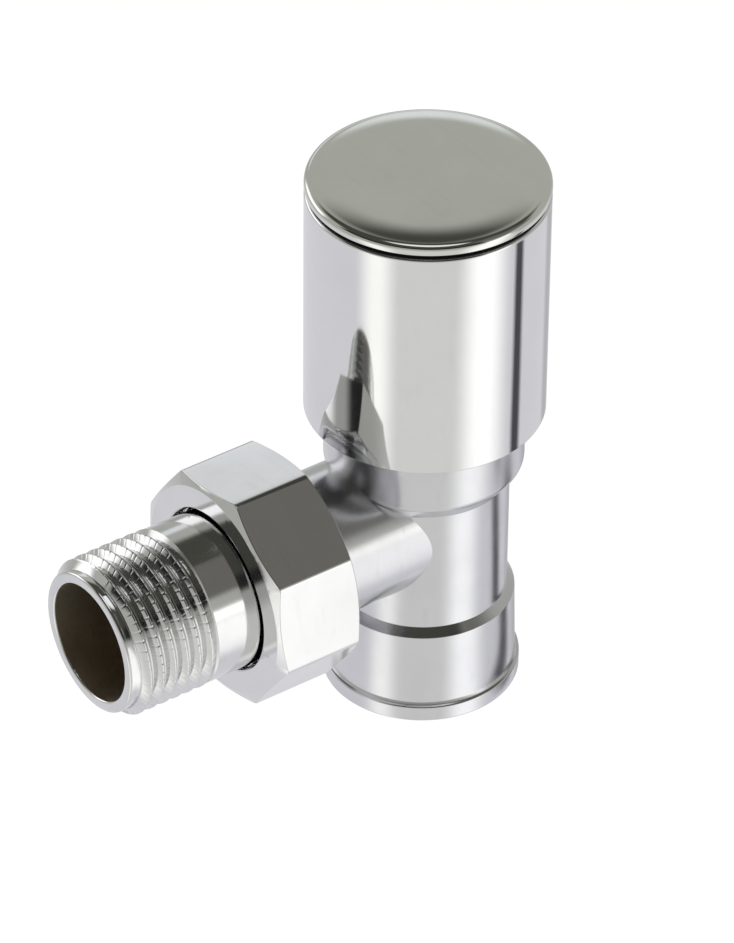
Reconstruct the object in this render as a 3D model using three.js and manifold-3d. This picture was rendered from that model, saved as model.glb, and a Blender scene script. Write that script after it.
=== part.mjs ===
// Angle lockshield valve with a union tailpiece, built from separate pieces.
// Lengths are millimetres. +Z runs up the spindle, the tailpiece points along -X,
// and the origin is the centre of the flat inlet face.

import * as THREE from 'three';
import { mergeVertices } from 'three/addons/utils/BufferGeometryUtils.js';
import Module from 'manifold-3d';

const wasm = await Module();
wasm.setup();

// Driving dimensions ---------------------------------------------------------

const WIDE = 36;                    // facets round a large turned piece
const NARROW = 24;                  // facets round a small turned piece
const THREAD = 24;                  // facets round a pipe thread
const GAP = 0.3;                    // space between neighbouring pieces

const halfInch = { radius: 20.955 / 2, pitch: 1.814, depth: 1.162 };
const threeQuarterInch = { radius: 26.441 / 2, pitch: 1.814, depth: 1.162 };
const spindleThread = { radius: 5.5, pitch: 1.5, depth: 0.8 };
const threadSlack = 0.3;            // radial clearance between mating threads

const body = {
  baseR: 12.75, baseZ: 2.2,
  collarLowR: 12.2, collarTopR: 11.95, collarZ: 12.9,
  waistR: 10.95, waistLowZ: 13.97,
  bossR: 12.75, bossLowZ: 31.5, bossSlopeZ: 33.8, topZ: 43.5,
  chamberR: 8.8, seatBoreR: 6.0, seatZ: 17.5, socketZ: 13.0,
};
const branch = { z: 26.0, outerR: 9.5, boreR: 7.0, threadFrom: 20.4, end: 26.0 };
const nut = { acrossFlats: 29.0, from: 20.0, to: 32.3, chamfer: 1.0, turn: 8.4, boreR: 10.8, shoulder: 2.4 };
const tail = { boreR: 7.82, sleeveR: 10.35, collarR: 11.7, threadFrom: 38.5, mouth: 51.0, spigotR: 8.9 };
const cap = {
  outerR: 15.3, innerR: 14.1, lowZ: 41.6, sleeveTopZ: 73.9, spigotLowZ: 73.5, crownLowZ: 74.5, topZ: 76.0,
};
const core = { outerR: 13.6, boreR: 8.5, lowZ: 49.0, topZ: 71.8, lidTopZ: 73.2 };
const headwork = { barrelR: 9.1, barrelLowZ: 34.6, flangeAF: 20.0, flangeTopZ: 48.3, neckR: 8.0, neckTopZ: 58.0 };
const spindle = { shaftR: 4.0, threadLowZ: 31.6, threadTopZ: 44.4, squareAF: 5.6, squareLowZ: 62.0, topZ: 67.0 };
const plug = { faceR: 7.6, lowZ: 19.3, stemR: 5.8, topZ: 30.0 };
const openLift = 4.0;               // travel of the plug from shut to open

// Helpers --------------------------------------------------------------------

function v2(x, y) {
  return new THREE.Vector2(x, y);
}

// The profile holds [radius, height] pairs. It runs counter-clockwise or is put in that order.
function ordered(profile) {
  const area = THREE.ShapeUtils.area(profile.map(([r, z]) => v2(r, z)));
  return area < 0 ? [...profile].reverse() : profile;
}

function toSolid(geometry) {
  geometry.deleteAttribute('normal');
  geometry.deleteAttribute('uv');
  const merged = mergeVertices(geometry, 1e-5);
  return new wasm.Manifold(new wasm.Mesh({
    numProp: 3,
    vertProperties: new Float32Array(merged.attributes.position.array),
    triVerts: new Uint32Array(merged.index.array),
  }));
}

// A ring turned about Z. The profile closes on itself, or on the axis where it touches it.
function turned(profile, sides = WIDE) {
  const points = ordered(profile).map(([r, z]) => v2(r, z));
  const start = points.findIndex((p, i) => p.x === 0 && points.at(i - 1).x === 0);
  const loop = start < 0
    ? [...points, points[0].clone()]
    : [...points.slice(start), ...points.slice(0, start)];
  const geometry = new THREE.LatheGeometry(loop, sides);
  geometry.rotateX(Math.PI / 2);
  return toSolid(geometry);
}

function rod(radius, low, high, sides = WIDE) {
  return turned([[0, low], [radius, low], [radius, high], [0, high]], sides);
}

function ring(inner, outer, low, high, sides = WIDE) {
  return turned([[inner, low], [outer, low], [outer, high], [inner, high]], sides);
}

// A bar with flat sides about Z, with its corners cut by a cone at each end.
function flatSided(count, acrossFlats, low, high, chamfer, turn = 0) {
  const flatR = acrossFlats / 2;
  const cornerR = flatR / Math.cos(Math.PI / count);
  const bar = new THREE.CylinderGeometry(cornerR, cornerR, high - low, count);
  bar.rotateX(Math.PI / 2);
  bar.rotateZ(Math.PI / count + THREE.MathUtils.degToRad(turn));
  bar.translate(0, 0, (low + high) / 2);
  const reach = cornerR - flatR + chamfer;
  const drop = reach * 0.6;
  const cone = turned([
    [0, low], [flatR - chamfer + 0.4, low], [flatR + reach, low + drop],
    [flatR + reach, high - drop], [flatR - chamfer + 0.4, high], [0, high],
  ]);
  return toSolid(bar).intersect(cone);
}

// A rod whose surface is a helical thread about Z, running past low and high.
// Each entry of the form is [fraction of the pitch, share of the full depth].
const form = [[0, 0], [0.5, 1]];

function threadRod(thread, low, high, { grow = 0, sides = THREAD } = {}) {
  const starts = form.length;
  const first = Math.floor(low / thread.pitch) - 2;
  const turns = Math.ceil(high / thread.pitch) + 2 - first;
  const rows = turns * starts;
  const vertices = [];
  const place = new Map();
  const point = (row, column) => {
    const [k, j] = column === sides ? [row + starts, 0] : [row, column];
    const key = `${k}:${j}`;
    if (!place.has(key)) {
      const [share, deep] = form[k % starts];
      const angle = 2 * Math.PI * j / sides;
      const radius = thread.radius - thread.depth * deep + grow;
      const height = (first + Math.floor(k / starts) + share + j / sides) * thread.pitch;
      place.set(key, vertices.length / 3);
      vertices.push(radius * Math.cos(angle), radius * Math.sin(angle), height);
    }
    return place.get(key);
  };
  const faces = [];
  for (let k = 0; k < rows; k += 1) {
    for (let j = 0; j < sides; j += 1) {
      faces.push(point(k, j), point(k, j + 1), point(k + 1, j + 1));
      faces.push(point(k, j), point(k + 1, j + 1), point(k + 1, j));
    }
  }
  const lowCentre = vertices.length / 3;
  vertices.push(0, 0, (first - 1) * thread.pitch);
  const highCentre = lowCentre + 1;
  vertices.push(0, 0, (first + turns + 2) * thread.pitch);
  for (let j = 0; j < sides; j += 1) {
    faces.push(lowCentre, point(0, j + 1), point(0, j));
    faces.push(highCentre, point(rows, j), point(rows, j + 1));
  }
  for (let k = 0; k < starts; k += 1) {
    faces.push(lowCentre, point(k, 0), point(k + 1, 0));
    faces.push(highCentre, point(rows + k + 1, 0), point(rows + k, 0));
  }
  return new wasm.Manifold(new wasm.Mesh({
    numProp: 3,
    vertProperties: new Float32Array(vertices),
    triVerts: new Uint32Array(faces),
  }));
}

function maleThread(thread, low, high, lead, options = {}) {
  const root = thread.radius - thread.depth;
  const blank = turned([
    [0, low], [root, low], [thread.radius + 0.1, low + lead],
    [thread.radius + 0.1, high - lead], [root, high], [0, high],
  ], options.sides ?? THREAD);
  return blank.intersect(threadRod(thread, low, high, options));
}

function femaleThread(thread, low, high, options = {}) {
  const limit = rod(thread.radius + 1, low, high, THREAD);
  return limit.intersect(threadRod(thread, low, high, { grow: threadSlack, ...options }));
}

function alongBranch(solid) {
  return solid.rotate([0, -90, 0]).translate([0, 0, branch.z]);
}

const group = new THREE.Group();
group.name = 'lockshield_valve';
const branchLine = new THREE.Group();
branchLine.rotation.y = -Math.PI / 2;
branchLine.position.z = branch.z;
group.add(branchLine);

function addPart(parent, name, solid, color, roughness, metalness) {
  const mesh = solid.getMesh();
  const geometry = new THREE.BufferGeometry();
  const positions = [];
  for (let i = 0; i < mesh.vertProperties.length; i += mesh.numProp) {
    positions.push(...mesh.vertProperties.slice(i, i + 3));
  }
  geometry.setAttribute('position', new THREE.Float32BufferAttribute(positions, 3));
  geometry.setIndex([...mesh.triVerts]);
  geometry.computeVertexNormals();
  const material = new THREE.MeshStandardMaterial({ color, roughness, metalness, flatShading: true });
  const part = new THREE.Mesh(geometry, material);
  part.name = name;
  parent.add(part);
}

// Valve body -----------------------------------------------------------------

function bodyBlank() {
  const b = body;
  return turned([
    [0, 0], [b.baseR - 0.3, 0], [b.baseR, 0.3], [b.baseR, b.baseZ], [b.collarLowR, b.baseZ + 0.4],
    [b.collarTopR, b.collarZ], [b.waistR, b.waistLowZ], [b.waistR, b.bossLowZ],
    [b.bossR, b.bossSlopeZ], [b.bossR, b.topZ - 0.5], [b.bossR - 0.5, b.topZ], [0, b.topZ],
  ]);
}

function branchBlank() {
  const pipe = rod(branch.outerR, 0, branch.threadFrom + 1, NARROW);
  const thread = maleThread(threeQuarterInch, branch.threadFrom, branch.end, 0.9);
  return alongBranch(pipe.add(thread));
}

function bodyHollows() {
  const b = body;
  const upright = turned([
    [0, b.socketZ - 0.5], [halfInch.radius, b.socketZ - 0.5], [b.seatBoreR, b.socketZ + 2.0],
    [b.seatBoreR, b.seatZ - 0.3], [b.seatBoreR + 0.3, b.seatZ], [b.chamberR, b.seatZ],
    [b.chamberR, 33.6], [headwork.barrelR + GAP, 33.9], [headwork.barrelR + GAP, 42.0],
    [11.0, 42.0], [11.0, b.topZ + 1], [0, b.topZ + 1],
  ]);
  const socketMouth = turned([
    [0, -1], [halfInch.radius + 1.0, -1], [halfInch.radius + 0.1, 0.9], [0, 0.9],
  ], NARROW);
  const socket = femaleThread(halfInch, -0.5, b.socketZ - 0.4, { grow: 0 });
  const sideBore = rod(branch.boreR, 0, branch.end + 1, NARROW);
  const spigotBore = rod(tail.spigotR + 0.4, branch.end - 2.4, branch.end + 1, NARROW);
  return upright.add(socketMouth).add(socket).add(alongBranch(sideBore.add(spigotBore)));
}

function valveBody() {
  return bodyBlank().add(branchBlank()).subtract(bodyHollows());
}

// Headwork, packing and gland ------------------------------------------------

function headworkPiece() {
  const h = headwork;
  const turnedPart = turned([
    [0, h.barrelLowZ], [h.barrelR - 0.5, h.barrelLowZ], [h.barrelR, h.barrelLowZ + 0.5],
    [h.barrelR, body.topZ + GAP], [h.neckR, body.topZ + GAP], [h.neckR, h.neckTopZ - 0.5],
    [h.neckR - 0.5, h.neckTopZ], [0, h.neckTopZ],
  ], NARROW);
  const flange = flatSided(6, h.flangeAF, body.topZ + GAP, h.flangeTopZ, 0.6);
  const shaftBore = rod(spindle.shaftR + GAP, h.barrelLowZ - 1, h.neckTopZ + 1, NARROW);
  const packingBore = rod(5.9, 51.5, h.neckTopZ + 1, NARROW);
  const thread = femaleThread(spindleThread, h.barrelLowZ - 1, spindle.threadTopZ + openLift + 0.5, { sides: 20 });
  return turnedPart.add(flange).subtract(shaftBore.add(packingBore).add(thread));
}

function headworkSeal() {
  return ring(headwork.barrelR + GAP, 10.7, 42.3, body.topZ, NARROW);
}

function spindlePacking() {
  return ring(spindle.shaftR + GAP, 5.6, 51.8, 55.2, NARROW);
}

function glandNut() {
  const spigot = ring(spindle.shaftR + GAP, 5.6, 55.5, 59.0, NARROW);
  const head = flatSided(6, 13.0, headwork.neckTopZ + GAP, 61.3, 0.5);
  const bore = rod(spindle.shaftR + GAP, 50, 65, NARROW);
  return spigot.add(head).subtract(bore);
}

// Spindle and plug -----------------------------------------------------------

function spindlePiece() {
  const s = spindle;
  const swivel = turned([
    [0, 24.3], [2.9, 24.3], [3.2, 24.6], [3.2, 26.3], [2.0, 26.3], [2.0, 30.2],
    [4.6, 30.4], [4.6, s.threadLowZ + 0.5], [0, s.threadLowZ + 0.5],
  ], NARROW);
  const shaft = rod(s.shaftR, s.threadTopZ - 1, s.squareLowZ + 0.5, NARROW);
  const thread = maleThread(spindleThread, s.threadLowZ, s.threadTopZ, 0.6, { sides: 20 });
  const square = flatSided(4, s.squareAF, s.squareLowZ, s.topZ, 0.5);
  return swivel.add(shaft).add(thread).add(square);
}

function valvePlug() {
  return turned([
    [0, plug.lowZ], [plug.faceR, plug.lowZ], [plug.faceR, plug.lowZ + 2.6],
    [plug.stemR, plug.lowZ + 3.4], [plug.stemR, plug.topZ], [3.6, plug.topZ], [3.6, 27.9],
    [4.7, 27.9], [4.7, 26.4], [3.6, 26.4], [3.6, 24.0], [0, 24.0],
  ], NARROW);
}

function plugSeal() {
  return ring(1.6, 7.2, body.seatZ + GAP, plug.lowZ - GAP, NARROW);
}

function plugWasher() {
  return ring(1.6, 4.2, 16.5, 17.5, NARROW);
}

function plugScrew() {
  const shank = rod(1.3, 15.0, plug.lowZ - GAP, 20);
  const head = flatSided(6, 5.0, 14.4, 16.2, 0.3);
  return shank.add(head);
}

function plugClip() {
  const full = ring(2.3, 4.4, 26.7, 27.6, NARROW);
  const slot = toSolid(new THREE.BoxGeometry(8, 1.4, 4).translate(4, 0, 27));
  return full.subtract(slot);
}

// Union: tailpiece, seal and nut, drawn along +Z of the branch line -----------

function tailpiece() {
  const t = tail;
  const ledge = nut.to - nut.shoulder - GAP;
  const blank = turned([
    [0, branch.end - 2.0], [t.spigotR, branch.end - 2.0], [t.spigotR, branch.end + 1.8],
    [t.collarR, branch.end + 1.8], [t.collarR, ledge], [t.sleeveR, ledge],
    [t.sleeveR, t.threadFrom + 0.3], [t.sleeveR - 1, t.threadFrom + 1.2], [0, t.threadFrom + 1.2],
  ]);
  const thread = maleThread(halfInch, t.threadFrom, t.mouth - 0.9, 0.5, { sides: 32 });
  const lip = turned([
    [0, t.mouth - 2], [9.3, t.mouth - 2], [9.3, t.mouth - 0.3], [9.0, t.mouth], [0, t.mouth],
  ]);
  const bore = turned([
    [0, 20], [t.boreR, 20], [t.boreR, t.mouth - 0.35], [t.boreR + 0.35, t.mouth],
    [t.boreR + 0.35, t.mouth + 1], [0, t.mouth + 1],
  ], NARROW);
  return blank.add(thread).add(lip).subtract(bore);
}

function tailSeal() {
  return ring(tail.spigotR + GAP, 11.4, branch.end + GAP, branch.end + 1.5, NARROW);
}

function unionNut() {
  const n = nut;
  const blank = flatSided(8, n.acrossFlats, n.from, n.to, n.chamfer, n.turn);
  const bore = rod(n.boreR, n.from - 1, n.to + 1, NARROW);
  const thread = femaleThread(threeQuarterInch, n.from - 1, n.to - n.shoulder);
  const leadIn = turned([
    [0, n.from - 1], [threeQuarterInch.radius + 0.2, n.from - 1],
    [threeQuarterInch.radius + 0.2, n.from + 0.2], [threeQuarterInch.radius - 0.8, n.from + 1.2],
    [0, n.from + 1.2],
  ], NARROW);
  return blank.subtract(bore.add(thread).add(leadIn));
}

// Lockshield cap -------------------------------------------------------------

function capCore() {
  const { outerR, boreR, lowZ, topZ } = core;
  return turned([
    [boreR, lowZ], [outerR, lowZ], [outerR, 60.0], [outerR - 0.6, 60.2], [outerR - 0.6, 61.4],
    [outerR, 61.6], [outerR, topZ], [boreR, topZ], [boreR, 53.6], [boreR + 0.7, 53.6],
    [boreR + 0.7, 52.0], [boreR, 52.0],
  ]);
}

function capLid() {
  return rod(core.outerR, core.topZ + GAP, core.lidTopZ);
}

function capGripRing() {
  return ring(headwork.neckR + GAP, 8.9, 52.3, 53.3, NARROW);
}

function capSleeve() {
  const c = cap;
  return turned([
    [c.innerR, c.lowZ], [c.outerR - 0.15, c.lowZ], [c.outerR, c.lowZ + 0.15],
    [c.outerR, c.sleeveTopZ - 0.15], [c.outerR - 0.15, c.sleeveTopZ], [c.innerR, c.sleeveTopZ],
    [c.innerR, 61.4], [13.4, 61.2], [13.4, 60.4], [c.innerR, 60.2],
  ], 48);
}

function capCrown() {
  const c = cap;
  const fillet = 0.9;
  const rim = [];
  for (let i = 0; i <= 3; i += 1) {
    const a = i / 3 * Math.PI / 2;
    rim.push([c.outerR - fillet + fillet * Math.cos(a), c.topZ - fillet + fillet * Math.sin(a)]);
  }
  return turned([
    [0, c.spigotLowZ], [c.innerR - GAP, c.spigotLowZ], [c.innerR - GAP, c.crownLowZ], [c.outerR, c.crownLowZ],
    ...rim, [7.5, c.topZ + 0.12], [0, c.topZ + 0.16],
  ], 48);
}

// Assembly -------------------------------------------------------------------

const chrome = [0xd2d3d8, 0.12, 1.0];
const satin = [0xa9aca0, 0.3, 1.0];
const brass = [0xc3a45c, 0.35, 1.0];
const rubber = [0x1c1c1e, 0.8, 0.0];
const ptfe = [0xeeeeea, 0.5, 0.0];
const plastic = [0xe4e4e0, 0.5, 0.0];
const steel = [0xb4b6ba, 0.3, 1.0];

addPart(group, 'valve_body', valveBody(), ...chrome);
addPart(group, 'headwork', headworkPiece(), ...brass);
addPart(group, 'headwork_seal', headworkSeal(), ...rubber);
addPart(group, 'gland_nut', glandNut(), ...brass);
addPart(group, 'spindle_packing', spindlePacking(), ...ptfe);
addPart(group, 'spindle', spindlePiece(), ...brass);
addPart(group, 'valve_plug', valvePlug(), ...brass);
addPart(group, 'plug_seal', plugSeal(), ...rubber);
addPart(group, 'plug_washer', plugWasher(), ...steel);
addPart(group, 'plug_screw', plugScrew(), ...steel);
addPart(group, 'plug_clip', plugClip(), ...steel);
addPart(branchLine, 'tailpiece', tailpiece(), ...chrome);
addPart(branchLine, 'tail_seal', tailSeal(), ...rubber);
addPart(branchLine, 'union_nut', unionNut(), ...chrome);
addPart(group, 'cap_core', capCore(), ...plastic);
addPart(group, 'cap_lid', capLid(), ...plastic);
addPart(group, 'cap_grip_ring', capGripRing(), ...rubber);
addPart(group, 'cap_sleeve', capSleeve(), ...chrome);
addPart(group, 'cap_crown', capCrown(), ...satin);

export default group;
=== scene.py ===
"""Angle lockshield valve with a union tailpiece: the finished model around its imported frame."""

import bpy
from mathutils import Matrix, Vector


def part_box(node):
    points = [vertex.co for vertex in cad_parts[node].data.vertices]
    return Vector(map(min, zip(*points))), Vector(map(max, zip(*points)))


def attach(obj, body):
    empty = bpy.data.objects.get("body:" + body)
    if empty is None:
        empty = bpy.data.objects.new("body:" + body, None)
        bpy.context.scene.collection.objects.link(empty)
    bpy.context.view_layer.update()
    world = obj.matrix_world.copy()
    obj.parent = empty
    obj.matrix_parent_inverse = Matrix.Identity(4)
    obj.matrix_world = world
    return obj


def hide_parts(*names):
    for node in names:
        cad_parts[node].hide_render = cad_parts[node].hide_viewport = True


bl_info = {
    "name": "Lockshield Valve",
    "version": (1, 0, 0),
    "blender": (4, 5, 0),
    "location": "View3D > Sidebar > Valve",
    "description": "Builds a chrome angle lockshield valve around its frame",
    "category": "Add Mesh",
}

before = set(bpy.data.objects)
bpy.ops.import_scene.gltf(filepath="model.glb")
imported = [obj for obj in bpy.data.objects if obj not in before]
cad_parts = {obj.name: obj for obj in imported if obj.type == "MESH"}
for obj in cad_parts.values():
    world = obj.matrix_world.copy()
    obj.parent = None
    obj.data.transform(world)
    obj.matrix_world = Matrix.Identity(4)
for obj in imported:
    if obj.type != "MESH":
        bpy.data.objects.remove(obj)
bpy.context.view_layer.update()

import math
from types import SimpleNamespace

import bmesh
import bpy
from bpy.props import FloatProperty, FloatVectorProperty, IntProperty, PointerProperty
from mathutils import Matrix, Vector

# Meshes are drawn in millimetres and scaled to metres when a piece is finished.
MM = 0.001
GAP = 0.3
PIPE_PITCH = 1.814
PIPE_DEPTH = 1.162
HALF_INCH_RADIUS = 20.955 / 2
THREE_QUARTER_RADIUS = 26.441 / 2
NUT_SLACK = 0.3
SPINDLE_THREAD = {"crest": 5.5, "depth": 0.8, "pitch": 1.5}

# Roundings of edges, and fixed places in the valve, in millimetres.
CRISP = 0.1
SOFT = 0.3
BRANCH_THREAD_START = 20.4
GASKET_SEAT = SimpleNamespace(radius=11.0, z=42.0)
PACKING_SEAT = SimpleNamespace(radius=5.9, z=51.5)
SEAT = SimpleNamespace(bore=6.0, z=17.5)
SPIGOT_RADIUS = 8.9
SPIGOT_LENGTH = 3.8
PLUG_BORE = 3.6
SNAP_RIB = SimpleNamespace(low=60.2, high=61.4, slope=0.2, depth=0.7)

# A thread's form, as (share of the pitch, share of the depth) for each row of points.
PIPE_FORM = [(0.0, 0.04), (0.05, 0.0), (0.11, 0.0), (0.16, 0.04), (0.44, 0.92), (0.5, 1.0), (0.56, 1.0),
             (0.62, 0.92)]
PLAIN_FORM = [(0.0, 0.0), (0.12, 0.0), (0.5, 1.0), (0.62, 1.0)]


# What the frame says ---------------------------------------------------------


def low(node, axis=2):
    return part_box(node)[0][axis] / MM


def high(node, axis=2):
    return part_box(node)[1][axis] / MM


def radius(node, axis=1):
    return (high(node, axis) - low(node, axis)) / 2


BRANCH_Z = (low("tailpiece") + high("tailpiece")) / 2
BRANCH_FRAME = Matrix.Translation((0, 0, BRANCH_Z)) @ Matrix.Rotation(-math.pi / 2, 4, "Y")


def begins(node):
    """How far along the branch a node begins."""
    return -high(node, 0)


def ends(node):
    """How far along the branch a node ends."""
    return -low(node, 0)


# Sizes and finishes that a user may change -------------------------------------


def length(name, description, millimetres):
    return FloatProperty(
        name=name, description=description, default=millimetres * MM, unit="LENGTH", precision=5
    )


def colour(name, description, default):
    return FloatVectorProperty(
        name=name, description=description, default=default, subtype="COLOR", size=3, min=0, max=1
    )


def share(name, description, default):
    return FloatProperty(name=name, description=description, default=default, min=0, max=1, subtype="FACTOR")


def angle(name, description, degrees):
    return FloatProperty(name=name, description=description, default=math.radians(degrees), subtype="ANGLE")


class BodySizes(bpy.types.PropertyGroup):
    base_radius: length("Base ring radius", "Widest radius of the ring at the inlet", 12.75)
    base_height: length("Base ring height", "Height of the ring at the inlet", 2.2)
    collar_low: length("Collar radius below", "Collar radius just above the base ring", 12.2)
    collar_top: length("Collar radius above", "Collar radius below its shoulder", 11.95)
    collar_height: length("Collar height", "Height at which the collar's shoulder starts", 12.9)
    waist_radius: length("Waist radius", "Radius of the narrow part of the body", 10.95)
    waist_height: length("Waist start", "Height at which the waist starts", 13.97)
    boss_radius: length("Boss radius", "Radius of the boss under the cap", 12.75)
    boss_height: length("Boss start", "Height of the crease under the boss", 31.5)
    boss_slope: length("Boss slope", "Height over which the boss widens from the waist", 2.3)
    branch_radius: length("Branch radius", "Radius of the side branch", 9.5)
    branch_bore: length("Branch bore", "Radius of the water way through the branch", 7.0)
    chamber: length("Chamber radius", "Radius of the chamber round the plug", 8.8)


class HeadworkSizes(bpy.types.PropertyGroup):
    barrel: length("Barrel radius", "Radius of the barrel inside the body", 9.1)
    flange_flats: length("Flange across flats", "Width of the hexagonal flange", 20.0)
    neck: length("Neck radius", "Radius of the neck that carries the cap", 8.0)
    gland_flats: length("Gland nut across flats", "Width of the gland nut", 13.0)
    shaft: length("Spindle radius", "Radius of the plain part of the spindle", 4.0)
    square: length("Spindle square", "Width of the square on the spindle", 5.6)


class PlugSizes(bpy.types.PropertyGroup):
    face: length("Plug face radius", "Radius of the disc that carries the seal", 7.6)
    stem: length("Plug stem radius", "Radius of the plug above its disc", 5.8)
    screw_flats: length("Screw across flats", "Width of the small screw's head", 5.0)


class UnionSizes(bpy.types.PropertyGroup):
    flats: length("Nut across flats", "Width of the union nut across its flats", 29.0)
    nut_round: length("Nut corner rounding", "Rounding of the nut's long corners", 1.1)
    nut_turn: angle("Nut turn", "How far the nut is turned on its thread", 8.4)
    sleeve: length("Sleeve radius", "Radius of the smooth stretch of the tailpiece", 10.35)
    bore: length("Tailpiece bore", "Inner radius of the tailpiece", 7.82)
    thread_start: length("Thread start", "Where the tailpiece thread begins along the branch", 38.5)
    nick: length("Nick depth", "Depth of the small nicks rolled across the thread crests", 0.10)
    nicks: IntProperty(name="Nicks", description="Number of nicks around one crest", default=52, min=0)


class CapSizes(bpy.types.PropertyGroup):
    wall: length("Sleeve wall", "Thickness of the cap sleeve", 1.2)
    mouth: length("Sleeve rounding", "Rounding of the sleeve's upper edge", 0.45)
    rim: length("Crown rounding", "Rounding of the crown's top edge", 0.8)
    dome: length("Dome", "Rise of the crown's centre over its edge", 0.1)
    roll_width: length("Roll width", "Width of the crown's softly falling border", 5.0)
    roll_drop: length("Roll drop", "Height that the border falls before the edge", 0.26)
    core_bore: length("Insert bore", "Inner radius of the cap's insert", 8.5)


class Finishes(bpy.types.PropertyGroup):
    chrome: colour("Chrome", "Colour of the polished plating", (0.80, 0.80, 0.805))
    cast: colour("Cast plating", "Colour of the plating on the cast body", (0.73, 0.73, 0.755))
    crown: colour("Crown", "Colour of the crown's plating", (0.78, 0.79, 0.76))
    bore: colour("Bore", "Colour of the dulled metal in the tailpiece's bore", (0.62, 0.54, 0.42))
    # The groove colour is painted shade for the face under the crown and the spigot.
    groove: colour("Groove", "Colour of the painted shade on the face under the crown", (0.03, 0.03, 0.032))
    brass: colour("Brass", "Colour of the machined brass", (0.76, 0.58, 0.28))
    steel: colour("Steel", "Colour of the small steel parts", (0.60, 0.61, 0.62))
    rubber: colour("Rubber", "Colour of the seals", (0.02, 0.02, 0.022))
    ptfe: colour("Packing", "Colour of the packing", (0.86, 0.86, 0.83))
    plastic: colour("Insert", "Colour of the cap's plastic insert", (0.78, 0.78, 0.75))
    polish: share("Polish", "Roughness of the polished plating", 0.05)


class StageSizes(bpy.types.PropertyGroup):
    azimuth: angle("View azimuth", "Where the camera stands", -35.89)
    elevation: angle("View elevation", "How high the camera stands", 37.01)
    roll: angle("View roll", "Tilt of the camera about its own axis", 0.57)
    distance: length("View distance", "Distance from the camera to the point it looks at", 781.8)
    lens: FloatProperty(name="Lens", description="Focal length in millimetres", default=236.65)
    aim: FloatVectorProperty(name="Aim", description="Point that the camera looks at",
                             default=(-7.94 * MM, 1.24 * MM, 33.16 * MM), subtype="TRANSLATION")


GROUPS = {
    "valve_body": BodySizes,
    "valve_headwork": HeadworkSizes,
    "valve_plug": PlugSizes,
    "valve_union": UnionSizes,
    "valve_cap": CapSizes,
    "valve_finish": Finishes,
    "valve_stage": StageSizes,
}


def in_mm(group):
    """The group's lengths, in millimetres."""
    lengths = [p.identifier for p in group.bl_rna.properties if p.type == "FLOAT" and p.unit == "LENGTH"]
    return SimpleNamespace(**{name: getattr(group, name) / MM for name in lengths})


# Mesh work -------------------------------------------------------------------


def rounded(outline, steps=5):
    """The outline, with each corner that names a radius turned into an arc."""
    path = []
    count = len(outline)
    for i, corner in enumerate(outline):
        here = Vector(corner[:2])
        if len(corner) < 3:
            path.append(here)
            continue
        before = (Vector(outline[i - 1][:2]) - here).normalized()
        after = (Vector(outline[(i + 1) % count][:2]) - here).normalized()
        half = before.angle(after) / 2
        centre = here + (before + after).normalized() * corner[2] / math.sin(half)
        first = here + before * corner[2] / math.tan(half) - centre
        last = here + after * corner[2] / math.tan(half) - centre
        sweep = first.angle_signed(last)
        for k in range(steps + 1):
            path.append(centre + Matrix.Rotation(-sweep * k / steps, 2) @ first)
    return path


def around(r, z, turn):
    return Vector((r * math.cos(turn), r * math.sin(turn), z))


def round_outline(count):
    """Even columns round the axis, as (angle, radius) pairs whose radius isn't used."""
    return [(2 * math.pi * j / count, 0.0) for j in range(count)]


def flat_outline(count, across_flats, corner_round, turn=0.0, arc_steps=6, flat_steps=5):
    """Columns round a regular polygon with rounded corners, as (angle, radius) pairs from angle 0 up."""
    half = math.pi / count
    centre = (across_flats / 2 - corner_round) / math.cos(half)
    corners = []
    for side in range(count):
        middle = turn + (2 * side + 1) * half
        heart = Vector((math.cos(middle), math.sin(middle))) * centre
        swings = [middle - half + 2 * half * k / arc_steps for k in range(arc_steps + 1)]
        corners.append([heart + Vector((math.cos(s), math.sin(s))) * corner_round for s in swings])
    points = []
    for side, arc in enumerate(corners):
        ahead = corners[(side + 1) % count][0]
        points += arc + [arc[-1].lerp(ahead, k / flat_steps) for k in range(1, flat_steps)]
    return sorted((math.atan2(p.y, p.x) % (2 * math.pi), p.length) for p in points)


def add_strip(bm, columns, closed=False, seam_shift=0):
    """Quads between neighbouring columns of points, and from the last column back to the first."""
    rows = len(columns[0])
    made = [[bm.verts.new(p) for p in column] for column in columns]
    for j, column in enumerate(made):
        following = made[(j + 1) % len(made)]
        shift = seam_shift if j == len(made) - 1 else 0
        for k in range(rows if closed else rows - 1):
            a, b = k, (k + 1) % rows
            c, d = min(a + shift, rows - 1), min(b + shift, rows - 1)
            corners = [column[a], following[c], following[d], column[b]]
            if c == d:
                corners.remove(following[d])
            bm.faces.new(corners)


def held(r, z, anchor, slope):
    """The radius r, kept inside the cone that opens from the anchor, where a thread runs out."""
    room = abs(z - anchor[1]) * slope
    return min(max(r, anchor[0] - room), anchor[0] + room)


def thread_columns(outline, crest, depth, pitch, low_end, high_end, form, slope=1.2, nick=None):
    """Columns of a helical thread that starts and stops at two (radius, height) points."""
    starts = len(form)
    first = math.floor(low_end[1] / pitch) - 2
    turns = math.ceil(high_end[1] / pitch) + 2 - first
    columns = []
    for turn, _ in outline:
        column = []
        for k in range(turns * starts):
            along, deep = form[k % starts]
            raw = (first + k // starts + along + turn / (2 * math.pi)) * pitch
            z = min(max(raw, low_end[1]), high_end[1])
            r = crest - depth * deep
            if nick is not None:
                r -= nick(turn, k // starts) * (1 - deep) ** 4
            column.append(around(held(held(r, z, low_end, slope), z, high_end, slope), z, turn))
        columns.append(column)
    return columns


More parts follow.
